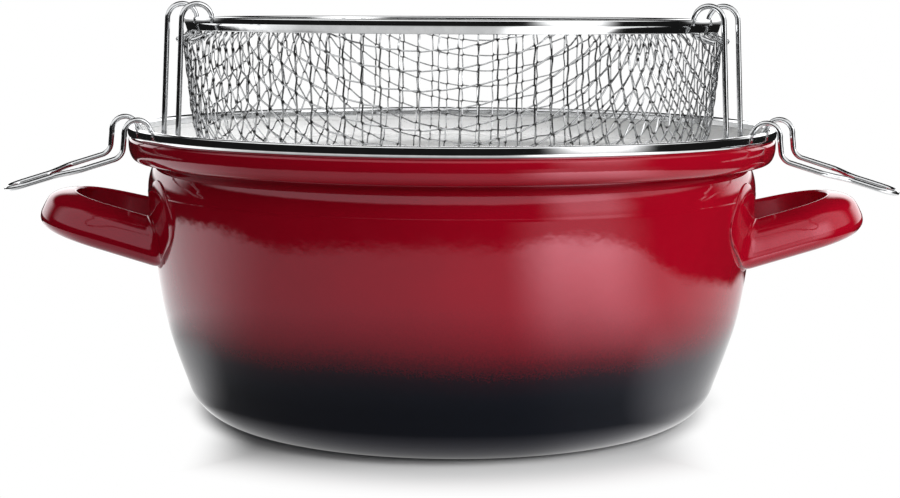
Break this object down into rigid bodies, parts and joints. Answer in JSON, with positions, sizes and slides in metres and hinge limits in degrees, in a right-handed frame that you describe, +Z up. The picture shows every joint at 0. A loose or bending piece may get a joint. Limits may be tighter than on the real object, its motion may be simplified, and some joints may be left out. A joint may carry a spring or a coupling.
{
  "type": "deep fry pot with basket",
  "caption": "Round enamelled steel pot with loop side handles and a wire net basket that hooks over the rim to drain.",
  "frame": {"origin": "centre of the base, on the surface the pot stands on", "axes": "+Z up, +X towards the right side handle, the wire handles of the basket lean towards -Y"},
  "size_m": [0.3372, 0.26, 0.1663],
  "materials": {
    "enamel": "glossy vitreous enamel, crimson fading to near black at the foot, pale grey inside",
    "bright_band": "polished stainless sheet",
    "wire": "bright plated wire"
  },
  "bodies": {
    "pot": {"pot_body": "enamel", "pot_rim_band": "bright_band", "side_handle_left": "enamel", "side_handle_right": "enamel"},
    "basket": {"basket_rim_band": "bright_band", "basket_rim_wire": "wire", "basket_net": "wire"},
    "wire_handle_left": {"basket_handle_left": "wire"},
    "wire_handle_right": {"basket_handle_right": "wire"}
  },
  "joints": [
    {"name": "basket_lift", "type": "slide", "parent": "pot", "child": "basket", "axis": [0, 0, 1], "range_m": [0, 0.08]},
    {"name": "wire_handle_left_swing", "type": "hinge", "parent": "basket", "child": "wire_handle_left", "pos_m": [-0.09857, -0.03588, 0.1556], "axis": [-0.342, 0.9397, 0], "range_deg": [0, 30]},
    {"name": "wire_handle_right_swing", "type": "hinge", "parent": "basket", "child": "wire_handle_right", "pos_m": [0.09857, -0.03588, 0.1556], "axis": [-0.342, -0.9397, 0], "range_deg": [0, 30]}
  ],
  "couplings": [
    {"joint": "wire_handle_left_swing", "follows": "basket_lift", "rad_per_m": 6.54},
    {"joint": "wire_handle_right_swing", "follows": "basket_lift", "rad_per_m": 6.54}
  ]
}
